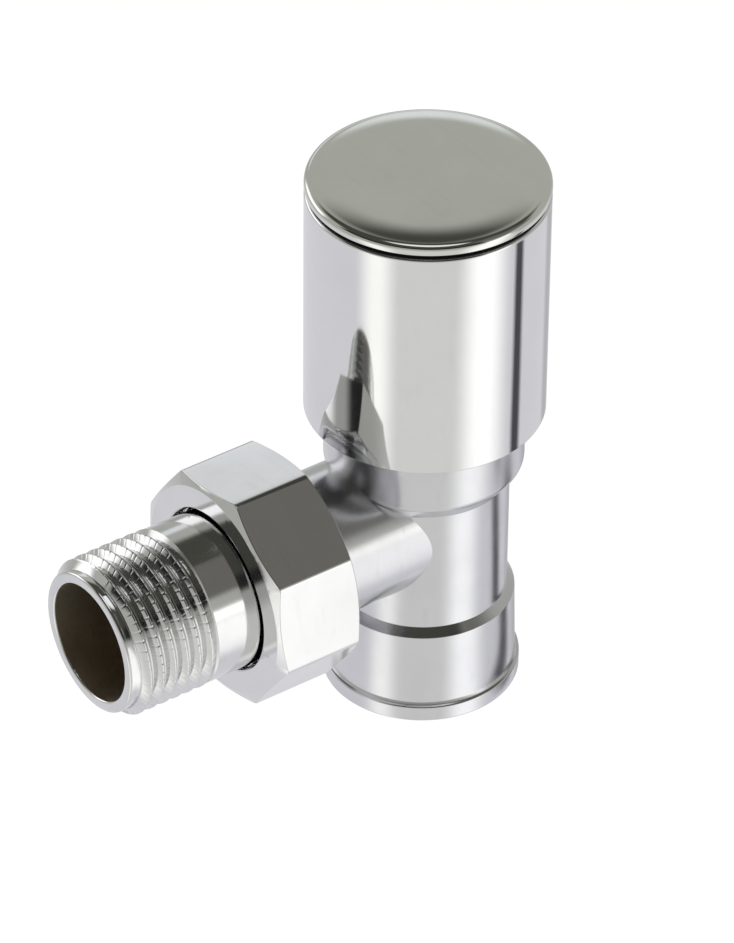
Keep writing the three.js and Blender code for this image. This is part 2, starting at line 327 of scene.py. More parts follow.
def shade(piece, sharp):
    """Smooth shading that keeps creases and lets large faces stay flat."""
    mesh = piece.data
    mesh.polygons.foreach_set("use_smooth", [True] * len(mesh.polygons))
    mesh.set_sharp_from_angle(angle=math.radians(sharp))
    weighted = piece.modifiers.new("flat faces", "WEIGHTED_NORMAL")
    weighted.keep_sharp = True
    weighted.weight = 60


def finish_mesh(bm, name, material=None, place=None, sharp=35):
    bmesh.ops.remove_doubles(bm, verts=bm.verts, dist=2e-4)
    bmesh.ops.dissolve_degenerate(bm, edges=bm.edges, dist=1e-4)
    bmesh.ops.recalc_face_normals(bm, faces=bm.faces)
    bm.transform(Matrix.Scale(MM, 4) @ (place or Matrix.Identity(4)))
    mesh = bpy.data.meshes.new(name)
    bm.to_mesh(mesh)
    bm.free()
    piece = bpy.data.objects.new(name, mesh)
    bpy.context.scene.collection.objects.link(piece)
    if material is not None:
        mesh.materials.append(material)
        shade(piece, sharp)
    return piece


def turned(name, outline, material=None, segments=192, place=None):
    """A piece turned on a lathe. Its outline closes on itself, or starts and ends on the axis."""
    profile = rounded(outline)
    on_axis = profile[0].x == 0 and profile[-1].x == 0
    bm = bmesh.new()
    columns = [[around(p.x, p.y, turn) for p in profile] for turn, _ in round_outline(segments)]
    add_strip(bm, columns, closed=not on_axis)
    return finish_mesh(bm, name, material, place)


def flatted(name, columns, paths, material=None, place=None, thread=None, sharp=50):
    """A piece from open outlines, each a function of a column's radius, welded to one helical thread."""
    bm = bmesh.new()
    for path in paths:
        profiles = [(turn, rounded(path(r), 3)) for turn, r in columns]
        add_strip(bm, [[around(p.x, p.y, turn) for p in profile] for turn, profile in profiles])
    if thread is not None:
        add_strip(bm, thread_columns(columns, **thread), seam_shift=len(thread["form"]))
    return finish_mesh(bm, name, material, place, sharp)


def coned_flats(low_z, high_z, cone_start, slope, edge=0.12):
    """The outside of a bar with flats whose ends are cut by a cone, as a function of its radius."""
    def side(r):
        drop = max(r - cone_start, 0.02) * slope
        return [(cone_start, high_z, edge), (r, high_z - drop, edge), (r, low_z + drop, edge),
                (cone_start, low_z, edge)]
    return side


def pipe_thread(crest, low_end, high_end):
    """What thread_columns needs for a pipe thread."""
    return {
        "crest": crest, "depth": PIPE_DEPTH, "pitch": PIPE_PITCH, "form": PIPE_FORM,
        "low_end": low_end, "high_end": high_end,
    }


def ring_outline(bore, outer, bottom, top, edge):
    return [(bore, bottom, edge), (outer, bottom, edge), (outer, top, edge), (bore, top, edge)]


def joined(base, steps):
    """base after a chain of boolean steps, given as (operation, tool). The tools are used up."""
    for operation, tool in steps:
        cut = base.modifiers.new(operation.lower(), "BOOLEAN")
        cut.operation = operation
        cut.solver = "EXACT"
        cut.object = tool
    bpy.context.view_layer.update()
    graph = bpy.context.evaluated_depsgraph_get()
    mesh = bpy.data.meshes.new_from_object(base.evaluated_get(graph))
    base.modifiers.clear()
    base.data = mesh
    for _, tool in steps:
        bpy.data.objects.remove(tool)
    return base


def settle(piece, body, slot_name, *nodes):
    """The piece rides on its body and stands for its CAD nodes."""
    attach(piece, body)
    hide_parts(*nodes)


# Shader work -----------------------------------------------------------------


def add_node(tree, kind, inputs=None, **settings):
    node = tree.nodes.new(kind)
    for name, value in settings.items():
        setattr(node, name, value)
    for name, value in (inputs or {}).items():
        socket = node.inputs[name]
        if isinstance(value, bpy.types.NodeSocket):
            tree.links.new(value, socket)
        else:
            socket.default_value = value
    return node


def new_group(name, inputs, outputs):
    """An empty shader group with float inputs and outputs, its input node and its output node."""
    group = bpy.data.node_groups.new(name, "ShaderNodeTree")
    for label, default in inputs:
        socket = group.interface.new_socket(name=label, in_out="INPUT", socket_type="NodeSocketFloat")
        socket.default_value = default
    for label in outputs:
        group.interface.new_socket(name=label, in_out="OUTPUT", socket_type="NodeSocketFloat")
    return group, group.nodes.new("NodeGroupInput"), group.nodes.new("NodeGroupOutput")


def handling_group():
    """Cloudy wiping marks and fine hairlines left by handling: a mask and a height."""
    if "Handling Marks" in bpy.data.node_groups:
        return bpy.data.node_groups["Handling Marks"]
    group, source, sink = new_group(
        "Handling Marks", [("Cloud Scale", 90.0), ("Hairline Scale", 900.0)], ["Mask", "Height"]
    )
    place = add_node(group, "ShaderNodeTexCoord")
    clouds = add_node(group, "ShaderNodeTexNoise", {
        "Vector": place.outputs["Object"], "Scale": source.outputs["Cloud Scale"], "Detail": 5.0,
        "Roughness": 0.62,
    })
    stretch = add_node(group, "ShaderNodeMapping", {
        "Vector": place.outputs["Object"], "Rotation": (0.4, 0.2, 0.7), "Scale": (1.0, 0.06, 0.25),
    })
    hairlines = add_node(group, "ShaderNodeTexNoise", {
        "Vector": stretch.outputs["Vector"], "Scale": source.outputs["Hairline Scale"], "Detail": 3.0,
    })
    fine = add_node(group, "ShaderNodeMapRange", {
        "Value": hairlines.outputs["Fac"], "From Min": 0.58, "From Max": 0.72,
    })
    mask = add_node(group, "ShaderNodeMapRange", {
        "Value": clouds.outputs["Fac"], "From Min": 0.35, "From Max": 0.75,
    })
    both = add_node(group, "ShaderNodeMath", {
        0: fine.outputs["Result"], 1: 0.35, 2: mask.outputs["Result"],
    }, operation="MULTIPLY_ADD")
    group.links.new(both.outputs["Value"], sink.inputs["Mask"])
    group.links.new(hairlines.outputs["Fac"], sink.inputs["Height"])
    return group


def turning_group():
    """Fine rings left by a lathe tool, across the axis given by its three inputs."""
    if "Turning Rings" in bpy.data.node_groups:
        return bpy.data.node_groups["Turning Rings"]
    group, source, sink = new_group(
        "Turning Rings", [("Along X", 0.0), ("Along Z", 1.0), ("Scale", 2500.0)], ["Height", "Mask"]
    )
    place = add_node(group, "ShaderNodeTexCoord")
    axes = add_node(group, "ShaderNodeSeparateXYZ", {"Vector": place.outputs["Object"]})
    along_x = add_node(group, "ShaderNodeMath", {
        0: axes.outputs["X"], 1: source.outputs["Along X"],
    }, operation="MULTIPLY")
    along = add_node(group, "ShaderNodeMath", {
        0: axes.outputs["Z"], 1: source.outputs["Along Z"], 2: along_x.outputs["Value"],
    }, operation="MULTIPLY_ADD")
    rings = add_node(group, "ShaderNodeTexNoise", {
        "W": along.outputs["Value"], "Scale": source.outputs["Scale"], "Detail": 2.0,
    }, noise_dimensions="1D")
    patches = add_node(group, "ShaderNodeTexNoise", {
        "Vector": place.outputs["Object"], "Scale": 220.0, "Detail": 2.0,
    })
    broken = add_node(group, "ShaderNodeMath", {
        0: rings.outputs["Fac"], 1: patches.outputs["Fac"],
    }, operation="MULTIPLY")
    group.links.new(rings.outputs["Fac"], sink.inputs["Height"])
    group.links.new(broken.outputs["Value"], sink.inputs["Mask"])
    return group


def start_material(name):
    material = bpy.data.materials.new(name)
    material.use_nodes = True
    tree = material.node_tree
    return material, tree, tree.nodes["Principled BSDF"]


def fill_group(tree, group, inputs):
    node = add_node(tree, "ShaderNodeGroup", None, node_tree=group)
    for name, value in inputs.items():
        node.inputs[name].default_value = value
    return node


def mixed(tree, factor, first, second):
    """A colour between two colours or colour sockets."""
    return add_node(tree, "ShaderNodeMix", {0: factor, 6: first, 7: second}, data_type="RGBA").outputs[2]


def metal(name, base, dark, roughness, spread, grain=0.0, rings=None, ring_depth=0.0):
    """A metal whose colour and roughness drift with handling marks, with tool rings where asked."""
    if name in bpy.data.materials:
        return bpy.data.materials[name]
    material, tree, shader = start_material(name)
    marks = fill_group(tree, handling_group(), {"Cloud Scale": 90.0, "Hairline Scale": 900.0})
    tint = mixed(tree, marks.outputs["Mask"], (*base, 1), (*dark, 1))
    rough = add_node(tree, "ShaderNodeMapRange", {
        "Value": marks.outputs["Mask"], "To Min": roughness, "To Max": roughness + spread,
    })
    height = add_node(tree, "ShaderNodeMath", {
        0: marks.outputs["Height"], 1: grain,
    }, operation="MULTIPLY")
    if rings is not None:
        tool = fill_group(tree, turning_group(), rings)
        height = add_node(tree, "ShaderNodeMath", {
            0: tool.outputs["Height"], 1: ring_depth, 2: height.outputs["Value"],
        }, operation="MULTIPLY_ADD")
    bump = add_node(tree, "ShaderNodeBump", {
        "Height": height.outputs["Value"], "Strength": 0.35, "Distance": 0.02 * MM,
    })
    tree.links.new(tint, shader.inputs["Base Color"])
    tree.links.new(rough.outputs["Result"], shader.inputs["Roughness"])
    tree.links.new(bump.outputs["Normal"], shader.inputs["Normal"])
    shader.inputs["Metallic"].default_value = 1.0
    return material


def moulded(name, base, dark, roughness, spread, grain_scale, grain_depth):
    """Rubber or plastic with a fine moulded grain and soft colour drift."""
    if name in bpy.data.materials:
        return bpy.data.materials[name]
    material, tree, shader = start_material(name)
    marks = fill_group(tree, handling_group(), {"Cloud Scale": 60.0, "Hairline Scale": 700.0})
    place = add_node(tree, "ShaderNodeTexCoord")
    grain = add_node(tree, "ShaderNodeTexNoise", {
        "Vector": place.outputs["Object"], "Scale": grain_scale, "Detail": 3.0,
    })
    tint = mixed(tree, marks.outputs["Mask"], (*base, 1), (*dark, 1))
    rough = add_node(tree, "ShaderNodeMapRange", {
        "Value": grain.outputs["Fac"], "To Min": roughness, "To Max": roughness + spread,
    })
    bump = add_node(tree, "ShaderNodeBump", {
        "Height": grain.outputs["Fac"], "Strength": 0.5, "Distance": grain_depth,
    })
    tree.links.new(tint, shader.inputs["Base Color"])
    tree.links.new(rough.outputs["Result"], shader.inputs["Roughness"])
    tree.links.new(bump.outputs["Normal"], shader.inputs["Normal"])
    return material


def darker(tone, factor):
    return tuple(c * factor for c in tone)


def tones(name, fade):
    """A finish's colour, and the same colour darkened."""
    tone = getattr(bpy.context.scene.valve_finish, name)
    return tone, darker(tone, fade)


def polish():
    return bpy.context.scene.valve_finish.polish


def cap_chrome():
    return metal("cap chrome", *tones("chrome", 0.96), polish(), 0.03)


def cast_chrome():
    return metal("body chrome", *tones("cast", 0.93), polish() + 0.13, 0.08, grain=0.4)


def nut_chrome():
    return metal("nut chrome", *tones("chrome", 0.93), polish() + 0.03, 0.05, grain=0.2)


def tail_chrome():
    rings = {"Along X": 1.0, "Along Z": 0.0, "Scale": 2600.0}
    return metal("tail chrome", *tones("chrome", 0.88), polish() + 0.03, 0.06, 0.2, rings, 0.4)


def crown_chrome():
    return metal("crown chrome", *tones("crown", 0.94), 0.05, 0.05, grain=0.2)


def brass():
    rings = {"Along X": 0.0, "Along Z": 1.0, "Scale": 2200.0}
    return metal("machined brass", *tones("brass", 0.72), 0.24, 0.16, 0.5, rings, 1.0)


def bare_bore():
    """Unplated metal, dulled, inside the tailpiece."""
    rings = {"Along X": 1.0, "Along Z": 0.0, "Scale": 1800.0}
    return metal("bare bore", *tones("bore", 0.55), 0.42, 0.2, 0.8, rings, 1.0)


def shadowed():
    """Painted shade: a near-black face under the crown and on the spigot below it, standing for the shade in
    the groove.
    """
    return moulded("groove face", *tones("groove", 0.6), 0.6, 0.2, 1500.0, 0.01 * MM)


def steel():
    return metal("bright steel", *tones("steel", 0.8), 0.25, 0.15, grain=0.5)


def rubber():
    return moulded("seal rubber", *tones("rubber", 0.6), 0.6, 0.2, 2500.0, 0.02 * MM)


def ptfe():
    return moulded("packing", *tones("ptfe", 0.9), 0.35, 0.15, 1200.0, 0.01 * MM)


def plastic():
    return moulded("insert plastic", *tones("plastic", 0.92), 0.4, 0.15, 1500.0, 0.015 * MM)


# Body ------------------------------------------------------------------------


def trunk(sizes):
    top = high("valve_body")
    return turned("valve_body_shell", [
        (0, 0), (sizes.base_radius, 0, SOFT), (sizes.base_radius, sizes.base_height, 0.25),
        (sizes.collar_low + 0.2, sizes.base_height + 0.15, CRISP),
        (sizes.collar_low, sizes.base_height + 0.5, 0.15),
        (sizes.collar_top, sizes.collar_height, 0.2), (sizes.waist_radius, sizes.waist_height, CRISP),
        (sizes.waist_radius, sizes.boss_height, 0.25),
        (sizes.boss_radius, sizes.boss_height + sizes.boss_slope, 1.6),
        (sizes.boss_radius, top, 0.5), (0, top),
    ])


def branch_arm(sizes):
    end = -low("valve_body", 0)
    start = BRANCH_THREAD_START
    root = THREE_QUARTER_RADIUS - PIPE_DEPTH
    thread = pipe_thread(THREE_QUARTER_RADIUS, (root, start), (root, end))
    pipe = [(0, 0), (sizes.branch_radius, 0), (sizes.branch_radius, start - 0.4, SOFT), (root, start)]
    return flatted("branch_arm", round_outline(192), [lambda r: pipe, lambda r: [(root, end), (0, end)]],
                   place=BRANCH_FRAME, thread=thread)


def upright_hollow(sizes):
    top = high("valve_body")
    mouth, socket_end, chamber_end = 0.9, 12.4, 33.6
    crest = HALF_INCH_RADIUS
    thread = pipe_thread(crest, (crest + 0.1, mouth), (crest, socket_end))
    barrel_bore = radius("headwork_seal") - 1.3
    upper = [
        (crest, socket_end), (SEAT.bore, SEAT.z - 2.5), (SEAT.bore, SEAT.z - SOFT),
        (SEAT.bore + SOFT, SEAT.z), (sizes.chamber, SEAT.z), (sizes.chamber, chamber_end),
        (barrel_bore, chamber_end + SOFT), (barrel_bore, GASKET_SEAT.z),
        (GASKET_SEAT.radius, GASKET_SEAT.z), (GASKET_SEAT.radius, top + 1), (0, top + 1),
    ]
    lower = [(0, -1), (crest + 1.0, -1), (crest + 0.1, mouth)]
    return flatted("upright_hollow", round_outline(144), [lambda r: lower, lambda r: upper], thread=thread)


def side_hollow(sizes):
    end = -low("valve_body", 0)
    spigot = radius("tail_seal") - 2.1
    return turned("side_hollow", [
        (0, 1), (sizes.branch_bore, 1), (sizes.branch_bore, end - 2.4), (spigot, end - 2.4),
        (spigot, end + 1), (0, end + 1),
    ], segments=144, place=BRANCH_FRAME)


class VALVE_OT_body(bpy.types.Operator):
    """Builds the cast body with its side branch, both pipe threads and the water ways"""

    bl_idname = "valve.build_body"
    bl_label = "Valve body"

    def execute(self, context):
        sizes = in_mm(context.scene.valve_body)
        shell = joined(trunk(sizes), [
            ("UNION", branch_arm(sizes)), ("DIFFERENCE", upright_hollow(sizes)),
            ("DIFFERENCE", side_hollow(sizes)),
        ])
        shell.data.materials.clear()
        shell.data.materials.append(cast_chrome())
        shade(shell, 22)
        settle(shell, "valve_body", "chrome_body", "valve_body")
        return {"FINISHED"}


# Headwork --------------------------------------------------------------------


def headwork_piece(sizes):
    bottom, top = low("headwork"), high("headwork")
    flange_low, flange_high = high("valve_body") + GAP, 48.3
    bore = sizes.shaft + GAP
    seat = PACKING_SEAT
    mouth, thread_start, thread_top = 6.0, (5.5, bottom + 0.6), (5.0, 48.9)
    thread = {
        **SPINDLE_THREAD, "crest": SPINDLE_THREAD["crest"] + NUT_SLACK, "form": PLAIN_FORM,
        "low_end": thread_start, "high_end": thread_top,
    }
    flange = coned_flats(flange_low, flange_high, sizes.flange_flats / 2 - 0.2, 0.6)

    def outside(r):
        return [
            thread_top, (bore, thread_top[1] + 0.2), (bore, seat.z), (seat.radius, seat.z),
            (seat.radius, top, 0.2), (sizes.neck, top, 0.5), (sizes.neck, flange_high, 0.2), *flange(r),
            (sizes.barrel, flange_low, 0.15), (sizes.barrel, bottom, 0.5), (mouth, bottom),
            thread_start,
        ]

    columns = flat_outline(6, sizes.flange_flats, 0.6, flat_steps=12)
    return flatted("headwork_barrel", columns, [outside], brass(), thread=thread, sharp=40)


def gland_nut_piece(sizes):
    bottom, top = low("gland_nut"), high("gland_nut")
    bore, spigot = sizes.shaft + GAP, 5.6
    head_low = high("headwork") + GAP
    head = coned_flats(head_low, top, sizes.gland_flats / 2 - 0.4, 0.6)

    def whole(r):
        return [
            (bore, bottom), (bore, top, SOFT), *head(r), (spigot, head_low, CRISP), (spigot, bottom, SOFT),
            (bore, bottom),
        ]

    columns = flat_outline(6, sizes.gland_flats, 0.4, flat_steps=10)
    return flatted("gland_nut_hex", columns, [whole], brass(), sharp=40)


def spindle_piece(sizes):
    bottom, top = low("spindle"), high("spindle")
    thread_low, thread_high, square_low = 31.6, 44.4, 62.0
    root = SPINDLE_THREAD["crest"] - SPINDLE_THREAD["depth"]
    swivel_radius, neck_radius, neck_low, neck_high, shoulder = 3.2, 2.0, 26.3, 30.2, 4.6
    thread = {
        **SPINDLE_THREAD, "form": PLAIN_FORM, "low_end": (root, thread_low), "high_end": (root, thread_high),
    }

    def swivel(r):
        return [
            (0, bottom), (swivel_radius, bottom, SOFT), (swivel_radius, neck_low, CRISP),
            (neck_radius, neck_low, 0.15), (neck_radius, neck_high, 0.4),
            (shoulder, neck_high + 0.2, SOFT), (root, thread_low),
        ]

    def shaft(r):
        return [
            (root, thread_high), (sizes.shaft, thread_high + 0.5), (sizes.shaft, square_low, 0.15),
            (r, square_low + 0.05), (r, top - 0.4), (r - 0.4, top, CRISP), (0, top),
        ]

    columns = flat_outline(4, sizes.square, 0.35, flat_steps=16)
    return flatted("spindle_stem", columns, [swivel, shaft], brass(), thread=thread, sharp=40)


def seal(name, node, bore, material, crown=0.35):
    """A flat ring that fills its node's place, with softly rounded edges."""
    outer = radius(node)
    bottom, top = low(node), high(node)
    soft = min(crown, (top - bottom) * 0.35)
    return turned(name, ring_outline(bore, outer, bottom, top, soft), material, segments=128)


class VALVE_OT_headwork(bpy.types.Operator):
    """Builds the headwork, its gland nut and seals, and the threaded spindle"""

    bl_idname = "valve.build_headwork"
    bl_label = "Headwork and spindle"

    def execute(self, context):
        sizes = in_mm(context.scene.valve_headwork)
        settle(headwork_piece(sizes), "valve_body", "brass", "headwork")
        settle(gland_nut_piece(sizes), "valve_body", "brass", "gland_nut")
        settle(spindle_piece(sizes), "spindle", "brass", "spindle")
        settle(seal("headwork_gasket", "headwork_seal", sizes.barrel + GAP, rubber()),
               "valve_body", "rubber", "headwork_seal")
        settle(seal("spindle_packing_ring", "spindle_packing", sizes.shaft + GAP, ptfe()),
               "valve_body", "ptfe", "spindle_packing")
        return {"FINISHED"}


# Plug ------------------------------------------------------------------------


def plug_piece(sizes):
    bottom, top = low("valve_plug"), high("valve_plug")
    floor, rounding = 24.0, 0.4
    groove, groove_low, groove_high = 4.7, low("plug_clip") - GAP, high("plug_clip") + GAP
    return turned("plug_disc", [
        (0, bottom), (sizes.face, bottom, SOFT), (sizes.face, bottom + 2.6, rounding),
        (sizes.stem, bottom + 3.4, rounding), (sizes.stem, top, rounding), (PLUG_BORE, top, 0.2),
        (PLUG_BORE, groove_high, CRISP), (groove, groove_high, CRISP), (groove, groove_low, CRISP),
        (PLUG_BORE, groove_low, CRISP), (PLUG_BORE, floor), (0, floor),
    ], brass(), segments=128)


def screw_piece(sizes):
    bottom, top = low("plug_screw"), high("plug_screw")
    shank, head_top = 1.3, bottom + 1.8
    head = coned_flats(bottom, head_top, 2.3, 0.5, 0.05)
    columns = flat_outline(6, sizes.screw_flats, 0.25, flat_steps=6)

    def whole(r):
        return [(0, top), (shank, top, CRISP), (shank, head_top, CRISP), *head(r), (0, bottom)]

    return flatted("plug_screw_hex", columns, [whole], steel(), sharp=40)


def clip_piece():
    """A spring clip: a ring with a slot towards +X."""
    bottom, top = low("plug_clip"), high("plug_clip")
    half_slot, count = 0.7, 72
    profile = rounded(ring_outline(2.3, 4.4, bottom, top, 0.12))
    bm = bmesh.new()
    columns = []
    for j in range(count + 1):
        column = []
        for p in profile:
            start = math.asin(half_slot / p.x)
            turn = start + (2 * math.pi - 2 * start) * j / count
            column.append(bm.verts.new(around(p.x, p.y, turn)))
        columns.append(column)
    rows = len(profile)
    for j in range(count):
        for k in range(rows):
            following = (k + 1) % rows
            here, ahead = columns[j], columns[j + 1]
            bm.faces.new([here[k], ahead[k], ahead[following], here[following]])
    bm.faces.new(columns[0])
    bm.faces.new(reversed(columns[-1]))
    return finish_mesh(bm, "plug_clip_ring", steel())


class VALVE_OT_plug(bpy.types.Operator):
    """Builds the plug with its seal, washer, screw and clip"""

    bl_idname = "valve.build_plug"
    bl_label = "Plug"

    def execute(self, context):
        sizes = in_mm(context.scene.valve_plug)
        settle(plug_piece(sizes), "plug", "brass", "valve_plug")
        settle(seal("plug_seal_disc", "plug_seal", 1.6, rubber()), "plug", "rubber", "plug_seal")
        settle(seal("plug_washer_disc", "plug_washer", 1.6, steel(), CRISP), "plug", "steel", "plug_washer")
        settle(screw_piece(sizes), "plug", "steel", "plug_screw")
        settle(clip_piece(), "plug", "steel", "plug_clip")
        return {"FINISHED"}


# Union -----------------------------------------------------------------------


def tail_piece(sizes, nicks):
    start, mouth = begins("tailpiece"), ends("tailpiece")
    collar = radius("tailpiece")
    ledge = ends("union_nut") - 2.7
    thread_end = mouth - 0.9
    root = HALF_INCH_RADIUS - PIPE_DEPTH

    def nick(turn, count):
        beat = math.cos(nicks * turn + 2.4 * count ** 2)
        return sizes.nick * max(beat, 0.0) ** 20

    thread = pipe_thread(HALF_INCH_RADIUS, (sizes.sleeve, sizes.thread_start), (root, thread_end))
    thread["nick"] = nick

    def plain(r):
        return [
            (root, thread_end), (root + 0.05, mouth, 0.35), (sizes.bore, mouth, SOFT),
            (sizes.bore, start, 0.2), (SPIGOT_RADIUS, start, 0.4),
            (SPIGOT_RADIUS, start + SPIGOT_LENGTH, CRISP),
            (collar, start + SPIGOT_LENGTH, SOFT), (collar, ledge, 0.4),
            (sizes.sleeve, ledge, 0.2), (sizes.sleeve, sizes.thread_start),
        ]

    tube = flatted("tailpiece_tube", round_outline(624), [plain], tail_chrome(), BRANCH_FRAME, thread)
    tube.data.materials.append(bare_bore())
    for face in tube.data.polygons:
        from_axis = math.hypot(face.center.y, face.center.z - BRANCH_Z * MM) / MM
        if from_axis < sizes.bore + 0.02 and abs(face.normal.x) < 0.3:
            face.material_index = 1
    return tube


def tail_seal_piece():
    outer, bore = radius("tail_seal"), radius("tail_seal") - 2.2
    bottom, top = begins("tail_seal"), ends("tail_seal")
    outline = ring_outline(bore, outer, bottom, top, SOFT)
    return turned("tail_seal_ring", outline, rubber(), segments=128, place=BRANCH_FRAME)


def nut_piece(sizes, turn):
    start, end = begins("union_nut"), ends("union_nut")
    ledge, bore = end - 2.4, 10.8
    crest = THREE_QUARTER_RADIUS + NUT_SLACK
    thread = pipe_thread(crest, (crest - 1.1, start + 1.2), (crest, ledge))
    face = coned_flats(start, end, sizes.flats / 2 - 0.6, 0.47, 0.15)

    def outside(r):
        return [
            (crest, ledge), (bore, ledge, 0.2), (bore, end, 0.35), *face(r), (crest + 0.1, start, CRISP),
            (crest - 1.1, start + 1.2),
        ]

    columns = flat_outline(8, sizes.flats, sizes.nut_round, turn, arc_steps=6, flat_steps=14)
    return flatted("union_nut_octagon", columns, [outside], nut_chrome(), BRANCH_FRAME, thread, sharp=28)


class VALVE_OT_union(bpy.types.Operator):
    """Builds the threaded tailpiece, its seal and the union nut"""

    bl_idname = "valve.build_union"
    bl_label = "Union"

    def execute(self, context):
        group = context.scene.valve_union
        sizes = in_mm(group)
        settle(tail_piece(sizes, group.nicks), "tail", "chrome_body", "tailpiece")
        settle(tail_seal_piece(), "tail", "rubber", "tail_seal")
        settle(nut_piece(sizes, group.nut_turn), "nut", "chrome_body", "union_nut")
        return {"FINISHED"}


# Cap -------------------------------------------------------------------------


def sleeve_piece(sizes):
    outer = radius("cap_sleeve")
    inner = outer - sizes.wall
    bottom, top = low("cap_sleeve"), high("cap_sleeve")
    rib = inner - SNAP_RIB.depth
    rib_low, rib_high = SNAP_RIB.low + SNAP_RIB.slope, SNAP_RIB.high - SNAP_RIB.slope
    return turned("cap_sleeve_tube", [
        (inner, bottom, 0.25), (outer, bottom, 0.25), (outer, top, sizes.mouth), (inner, top, 0.15),
        (inner, SNAP_RIB.high, CRISP), (rib, rib_high, CRISP), (rib, rib_low, CRISP),
        (inner, SNAP_RIB.low, CRISP),
    ], cap_chrome(), segments=256)


def crown_piece(sizes):
    outer, spigot = radius("cap_crown"), radius("cap_sleeve") - sizes.wall - GAP
    bottom, top = low("cap_crown"), high("cap_crown")
    flat = outer - sizes.roll_width
    steps, spigot_length = 8, 1.0
    outline = [(0, top)]
    for k in range(steps + 1):
        share_out = k / steps
        r = flat + (sizes.roll_width - sizes.rim - 0.05) * share_out
        outline.append((r, top - sizes.dome * (r / outer) ** 2 - sizes.roll_drop * share_out ** 2))
    edge = outline[-1][1]
    under = bottom + spigot_length
    disc = turned("cap_crown_disc", [
        (0, bottom), (spigot, bottom, 0.15), (spigot, under), (outer, under, 0.12),
        (outer, edge - 0.02, sizes.rim), *reversed(outline),
    ], crown_chrome(), segments=256)
    # Faces under the crown and on the spigot get the painted groove shade.
    disc.data.materials.append(shadowed())
    for face in disc.data.polygons:
        if face.center.z < (under + 0.02) * MM:
            face.material_index = 1
    return disc


def core_piece(sizes):
    outer = radius("cap_core")
    bottom, top = low("cap_core"), high("cap_core")
    bore, slope = sizes.core_bore, SNAP_RIB.slope
    snap = outer - 0.6
    grip, grip_low, grip_high = bore + 0.7, low("cap_grip_ring") - GAP, high("cap_grip_ring") + GAP
    return turned("cap_insert", [
        (bore, bottom, 0.4), (outer, bottom, 0.4), (outer, SNAP_RIB.low - slope, CRISP),
        (snap, SNAP_RIB.low, CRISP), (snap, SNAP_RIB.high, CRISP), (outer, SNAP_RIB.high + slope, CRISP),
        (outer, top, SOFT), (bore, top, SOFT), (bore, grip_high, CRISP), (grip, grip_high, CRISP),
        (grip, grip_low, CRISP), (bore, grip_low, CRISP),
    ], plastic(), segments=160)


def lid_piece():
    outer = radius("cap_lid")
    bottom, top = low("cap_lid"), high("cap_lid")
    dimple, dimple_depth, rounding = 2.0, 0.3, 0.2
    return turned("cap_insert_lid", [
        (0, bottom), (outer, bottom, SOFT), (outer, top, SOFT), (dimple, top, rounding),
        (dimple - 0.4, top - dimple_depth, rounding), (0, top - dimple_depth),
    ], plastic(), segments=160)


class VALVE_OT_cap(bpy.types.Operator):
    """Builds the lockshield cap: sleeve, crown, plastic insert and grip ring"""

    bl_idname = "valve.build_cap"
    bl_label = "Cap"

    def execute(self, context):
        sizes = in_mm(context.scene.valve_cap)
        neck = in_mm(context.scene.valve_headwork).neck
        settle(sleeve_piece(sizes), "cap_shell", "chrome_cap", "cap_sleeve")
        settle(crown_piece(sizes), "cap_shell", "satin_crown", "cap_crown")
        settle(core_piece(sizes), "cap_core", "insert_plastic", "cap_core")
        settle(lid_piece(), "cap_core", "insert_plastic", "cap_lid")
        grip = seal("cap_grip", "cap_grip_ring", neck + GAP, rubber(), SOFT)
        settle(grip, "cap_core", "rubber", "cap_grip_ring")
        return {"FINISHED"}


# Stage -----------------------------------------------------------------------

# Soft panels round the valve, in degrees: azimuth from +X towards +Y, elevation, half width, half height,
# softness of the edge, and colour.
PANELS = {
    "dark room above the camera": (218, 60, 66, 32, 10, (0.02, 0.02, 0.02)),
    "dark zenith": (0, 90, 180, 43, 10, (0.065, 0.065, 0.055)),
    "ceiling lamp": (0, 90, 180, 13, 6, (1.0, 1.0, 1.0)),
    "dark ceiling on the right": (320, 47, 24, 14, 8, (0.16, 0.155, 0.14)),
    "pale wall behind": (61, 19, 12, 3, 5, (0.84, 0.86, 0.88)),
    "warm table in front": (245, -45, 35, 30, 25, (0.75, 0.755, 0.725)),
    "window on the right": (297, 6, 9, 4, 5, (1.6, 1.6, 1.5)),
    "soft light on the right": (290, -24, 4, 16, 28, (1.30, 1.30, 1.28)),
    "soft light on the left": (186, -38, 2, 16, 22, (1.2, 1.2, 1.15)),
    "window behind": (112, 12, 14, 8, 10, (1.4, 1.4, 1.4)),
    "shade beside the table": (31, -34, 5, 8, 12, (0.5, 0.5, 0.52)),
}

# Painted shadow of the valve on the table, as dark strips seen only in the plating: points along each one as
# x, y and half its width, in mm.
PAINTED_SHADOW_STRIPS = {
    "streak_near": [
        (3, -13.4, 1.5), (8, -12.8, 2.0), (14, -12.0, 3.0), (22, -12.2, 4.5), (30, -13.8, 6.0),
        (40, -17.5, 8.0), (50, -23.0, 9.0), (58, -27.0, 10.0),
    ],
    "streak_far": [
        (40, -38.0, 7.0), (49, -43.0, 8.0), (54, -46.0, 9.0), (83, -63.0, 13.0), (95, -70.0, 14.0),
        (104, -75.0, 15.0),
    ],
}
# Colour of the painted shadow strips, and their height over the floor.
PAINTED_SHADOW_COLOUR = (0.06, 0.06, 0.07)
PAINTED_SHADOW_HEIGHT = 0.2
FLOOR_HALF_WIDTH = 3000
TABLE_COLOUR = (0.74, 0.74, 0.77, 1)
ROOM_COLOUR = (0.46, 0.465, 0.43, 1)


